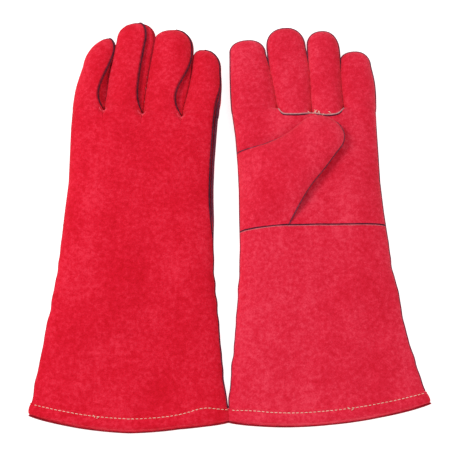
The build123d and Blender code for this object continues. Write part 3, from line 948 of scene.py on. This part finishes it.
def make_creases(glove, k):
    """Beside a rolled finger's seam: a strip of painted shade in the groove, and at the finger's edge a
    raised fold with painted shade on it, or on the little finger a band of painted shade.
    """
    name = FINGERS[k]
    bends = bend(glove, name, *FINGER_BEND)
    sheet = glove.finger_sheet(k, TOP)
    lines = {column: glove.world(sheet[:, column]) for column in (SEAM_COLUMN, SEAM_COLUMN + 2, -1)}
    place = np.linspace(0, 1, len(sheet))
    shown = 0.15 + 0.85 * smooth(place / 0.15) * smooth((1 - place) / 0.3)
    aslant = np.array(glove.u_dir) * 0.5 + (0, 0, 0.85)
    # The seam crease, the fold and the little finger's side band are painted shade: dark leather where the
    # grooves between fingers fall in shadow.
    made = [("seam_crease", lying(lines[SEAM_COLUMN], shown, aslant), (3.0, 0.3), PAINTED_SHADE)]
    if name == "little":
        fading = 0.1 + 0.9 * (1 - smooth(place / 0.6))
        made.append(("side_band", lying(lines[SEAM_COLUMN + 2], fading, aslant), (3.6, 0.3), PLUM))
    else:
        made.append(("fold_crease", lying(lines[-1], shown), (2.2, 2.8 if name == "index" else 2.2), PAINTED_SHADE))
    for kind, line, size, material in made:
        sew_strip(glove, f"{name}_{kind}", [line], size, f"{name}_welt", material, bends)
    if name == "middle":
        spots = sheet[2:14:2, SEAM_COLUMN + 3]
        threads = loose_threads(f"{glove.name}_{name}_side_threads", glove, spots, (1.8, 3.0))
        finish_piece(glove, threads, "cream_thread", f"{name}_welt", bends, PINK)


def make_fingers(glove):
    for k, name in enumerate(FINGERS):
        make_finger_welt(glove, k)
        if not glove.palm_up:
            make_creases(glove, k)
        outer, inner = (finger_rings(glove, k, grow) for grow in FINGER_LINING)
        lining = wall(f"{glove.name}_{name}_lining", outer + inner[::-1])
        finish_piece(glove, lining, "cotton_lining", f"{name}_lining", bend(glove, name, *FINGER_BEND))


def make_hem(glove):
    """The binding folded over the open end, and its stitches above and below."""
    profile = [(HEM_WIDE, 0.1), (HEM_WIDE - 0.3, 0.9), (STITCH_ROW + 0.9, 1.35), (STITCH_ROW, 1.0)]
    profile += [(STITCH_ROW - 0.9, 1.45), (5.5, 1.8), (2.8, 1.9), (0.6, 1.5), (-0.6, 0.6), (-1.0, -0.6)]
    profile += [(-0.9, -2.2), (-0.2, -3.6), (1.4, -4.3), (5, -4.5), (HEM_WIDE, -4.4), (HEM_WIDE, -3.4)]
    binding = wall(f"{glove.name}_hem_binding", [ring_round(glove, row, grow) for row, grow in profile])
    finish_piece(glove, binding, "red_suede", "hem_binding", None, glove.leather)

    rows = [(glove.world(glove.hand_row(side, STITCH_ROW, 1.15)[2:-2]), SKY * side) for side in (TOP, BOTTOM)]
    finish_piece(glove, stitches(f"{glove.name}_hem_stitching", rows), "cream_thread", "hem_stitching")


def make_hand_linings(glove):
    for part, start, end in (("cuff", 1.5, WRIST - 0.6), ("hand", WRIST + 0.6, KNUCKLE_ROW - LINING_CLEAR)):
        rows = row_places(start, end, LINING_STEP)
        outer, inner = ([ring_round(glove, r, grow) for r in rows] for grow in LINING)
        lining = wall(f"{glove.name}_{part}_lining", outer + inner[::-1])
        finish_piece(glove, lining, "cotton_lining", f"{part}_lining")


def side_sheet(glove):
    """Rows from the hem to the knuckles, as places and as points of the upper sheet."""
    places = np.array(row_places(HEM_WIDE + 0.3, KNUCKLE_ROW, WELT_STEP))
    return places, glove.world(np.array([glove.hand_row(TOP, r) for r in places]))


def make_side_shade_band(glove):
    """A band of painted shade between the palm-down glove's rolled side seam and its edge."""
    places, sheet = side_sheet(glove)
    shown = 0.1 + 0.9 * smooth((places - 160) / 40)
    # The band is painted shade: the shaded side wall, drawn as a plum strip.
    band = lying(sheet[:, LITTLE_SEAM + 2], shown, np.array(glove.u_dir) + (0, 0, 0.8))
    sew_strip(glove, "side_band", [band], (3.6, 0.3), "side_welts", PLUM)


def make_gap_ridge_highlights(glove):
    """A painted highlight, paler leather, on the ridge round the end of each gap between the fingers."""
    rims = []
    for gap in (FINGER_COLUMNS, 2 * FINGER_COLUMNS, 3 * FINGER_COLUMNS):
        rim = []
        for turn in np.linspace(0, math.pi, 9):
            row = glove.hand_row(TOP, KNUCKLE_ROW - 0.3 - 3.8 * math.sin(turn))
            place = row[gap, 0] - 0.6 + 4.0 * math.cos(turn)
            rim.append([np.interp(place, row[:, 0], row[:, i]) for i in range(3)])
        rim = glove.world(curve(rim, np.linspace(0, 1, 19)))
        rims.append(lying(rim, 0.1 + 0.9 * np.sin(np.linspace(0, math.pi, 19))))
    # The strip is a painted highlight on the ridges.
    ridges = strip(f"{glove.name}_gap_ridges", rims, 2.6, 0.25, 0.6)
    finish_piece(glove, ridges, "red_suede", "back_panel", None, RIDGE_HIGHLIGHT)


def make_side_welts(glove):
    """Welts in the two long side seams. One of the palm-down glove's comes up over its edge at the hand."""
    places, sheet = side_sheet(glove)
    out = np.array(glove.u_dir)
    if glove.palm_up:
        edges = [lying(sheet[:, column], 0.75, out * way) for column, way in ((0, -1), (-1, 1))]
    else:
        over = side_roll(places)
        turned = np.tile(out, (len(places), 1)) + np.outer(over, SKY * 1.5)
        edges = [lying(sheet[:, 0], 0.15, -out), (sheet[:, LITTLE_SEAM], turned, 0.35 + 0.65 * over)]
    sew_strip(glove, "side_welts", edges, (1.4, 0.9), "side_welts", glove.welt)


def make_palm_welts(glove):
    """The seams across the wrist and the bases of the two inset fingers, each with a finer line beside it: a
    pale edge by the wrist, and painted shadow by the finger bases.
    """
    up = SKY * glove.palm_side
    wrist = resample(glove.world(glove.hand_row(glove.palm_side, WRIST)), 2 * MM)
    wrist_lines = (("wrist", 0.0, (1.3, 0.45), DARK), ("wrist_edge", -1.1, (0.8, 0.3), PINK))
    for kind, move, size, material in wrist_lines:
        line = wrist + np.array(glove.v_dir) * move * MM
        sew_strip(glove, f"{kind}_welt", [lying(line, 1, up)], size, "palm_welts", material)
    base = glove.hand_row(glove.palm_side, KNUCKLE_ROW - 3)[FINGER_COLUMNS : 3 * FINGER_COLUMNS + 1]
    # base_shade is painted shadow: a dark line on the palm under the finger-base seam's edge.
    base_lines = (("base", 0.0, (1.2, 0.7), PALE), ("base_shade", -1.2, (1.3, 0.4), DARK))
    for kind, move, size, material in base_lines:
        line = resample(glove.world(base + np.array([0, move, 0])), 1.5 * MM)
        sew_strip(glove, f"finger_{kind}_welt", [lying(line, 1, up)], (*size, 1.5), "palm_welts", material)
    if glove.palm_up:
        shares = (0.50, 0.53, 0.57, 0.60, 0.63, 0.67, 0.70, 0.74)
        spots = [base[round(share * (len(base) - 1))] for share in shares]
        threads = loose_threads(f"{glove.name}_finger_base_thread", glove, spots, (2.4, 4.6))
        finish_piece(glove, threads, "cream_thread", "palm_welts")


def make_hem_details(glove):
    """A tuft of loose thread on the hem's stitches, and a painted shadow along the binding's lower edge."""
    tuft = glove.hand_row(TOP, STITCH_ROW, 1.2)[np.searchsorted(glove.share, glove.spec["tuft"])]
    threads = loose_threads(f"{glove.name}_hem_tuft", glove, [tuft, tuft + (0.5, -1.2, 0)], (1.6, 2.8))
    finish_piece(glove, threads, "cream_thread", "hem_stitching")

    # The dark strip under the binding is painted shadow, where the lower ply lies in shade.
    line = glove.world(glove.hand_row(BOTTOM, -0.8, 1.0)[1:-1])
    line[:, 2] = np.maximum(line[:, 2], 1.6 * MM)
    outwards = (0, 0, 0.4) - np.array(glove.v_dir)
    hem_shadow = strip(f"{glove.name}_hem_edge", [lying(line, 1, outwards)], 3.0, 0.9)
    finish_piece(glove, hem_shadow, "red_suede", "hem_binding", None, PAINTED_SHADE)


def make_thumb(glove):
    """The wing sewn to the palm, the thumb's front and back, the welts round both, and the lining."""
    bends = bend(glove, "thumb", *THUMB_BEND)
    upper, lower = glove.thumb_sheet(True), glove.thumb_sheet(False)
    skin = Skin(glove)
    skin.add("thumb_wing", upper[: WING_ROWS + 1], glove.palm_up)
    skin.add("thumb_front", upper[WING_ROWS:], glove.palm_up)
    skin.add("thumb_back", lower[WING_ROWS:], not glove.palm_up)
    for part, obj in skin.pieces().items():
        finish_piece(glove, obj, "red_suede", part, None if part == "thumb_wing" else bends, glove.leather)

    path, outward, side = outline(glove.world(upper[WING_ROWS:, ::-1]))
    place = np.concatenate([np.linspace(0, 1, count) for count in np.bincount(side)])
    shown = np.where(side == 0, 0.9 - 0.8 * smooth(place / 0.45), 1.0 - 0.3 * smooth(place))
    sew_strip(glove, "thumb_welt", [(path, outward, shown)], (1.4, 0.8), "thumb_welt", glove.welt, bends)

    wing = glove.world(upper[: WING_ROWS + 1])
    seams = []
    for column, way in ((0, 1), (-1, -1)):
        points = wing[:, column]
        tangent = np.gradient(points, axis=0)
        outward = np.stack([tangent[:, 1] * way, -tangent[:, 0] * way, 0 * tangent[:, 0]], -1)
        seams.append((points, outward, 1))
    sew_strip(glove, "wing_welt", seams, (1.3, 0.6), "palm_welts", glove.welt)

    outer, inner = (thumb_rings(glove, grow) for grow in THUMB_LINING)
    lining = wall(f"{glove.name}_thumb_lining", outer + inner[::-1])
    finish_piece(glove, lining, "cotton_lining", "thumb_lining", bends)


for glove_name, glove_spec in GLOVES.items():
    made_glove = Glove(glove_name, glove_spec)
    made_glove.welt, made_glove.leather = (PLUM, ROSE) if made_glove.palm_up else (DARK, RED)
    make_leather(made_glove)
    make_fingers(made_glove)
    make_hem(made_glove)
    make_hand_linings(made_glove)
    if not made_glove.palm_up:
        make_side_shade_band(made_glove)
        make_gap_ridge_highlights(made_glove)
    make_side_welts(made_glove)
    make_palm_welts(made_glove)
    make_hem_details(made_glove)
    make_thumb(made_glove)


# Floor, light and camera

PAPER = 0.6
PAPER_GLOW = 0.83
SKY_STRENGTH = 0.60
CAMERA_TARGET = Vector((-0.0029, -0.0078, 0.012))
CAMERA_DISTANCE = 1.6
CAMERA_ELEVATION = math.radians(70)
FOCAL_LENGTH = 135.6


def area(name, place, size, power):
    """A square lamp aimed at the gloves."""
    data = bpy.data.lights.new(name, "AREA")
    data.shape, data.size, data.energy = "SQUARE", size, power
    light = bpy.data.objects.new(name, data)
    bpy.context.scene.collection.objects.link(light)
    light.location = place
    light.rotation_euler = (-Vector(place)).to_track_quat("-Z", "Y").to_euler()


floor_mesh = bpy.data.meshes.new("floor")
floor_mesh.from_pydata([(-6, -6, 0), (6, -6, 0), (6, 6, 0), (-6, 6, 0)], [], [(0, 1, 2, 3)])
floor = bpy.data.objects.new("floor", floor_mesh)
bpy.context.scene.collection.objects.link(floor)
paper, _, paper_bsdf = fresh("paper")
paper_bsdf.inputs["Base Color"].default_value = (PAPER, PAPER, PAPER, 1)
paper_bsdf.inputs["Roughness"].default_value = 0.9
paper_bsdf.inputs["Specular IOR Level"].default_value = 0.1
paper_bsdf.inputs["Emission Color"].default_value = (1, 1, 1, 1)
paper_bsdf.inputs["Emission Strength"].default_value = PAPER_GLOW
floor_mesh.materials.append(paper)

world = bpy.data.worlds.new("studio")
bpy.context.scene.world = world
world.use_nodes = True
world.node_tree.nodes["Background"].inputs["Color"].default_value = (1, 1, 1, 1)
world.node_tree.nodes["Background"].inputs["Strength"].default_value = SKY_STRENGTH
area("key", (-0.95, 0.35, 1.15), 0.6, 12.3)
area("fill", (0.9, -0.9, 1.5), 1.2, 6.5)

camera_data = bpy.data.cameras.new("camera")
camera_data.lens, camera_data.sensor_width = FOCAL_LENGTH, 36.0
camera = bpy.data.objects.new("camera", camera_data)
bpy.context.scene.collection.objects.link(camera)
back_off = Vector((0, -math.cos(CAMERA_ELEVATION), math.sin(CAMERA_ELEVATION))) * CAMERA_DISTANCE
camera.location = CAMERA_TARGET + back_off
camera.rotation_euler = (-back_off).to_track_quat("-Z", "Y").to_euler()
bpy.context.scene.camera = camera
bpy.context.scene.view_settings.view_transform = "Standard"
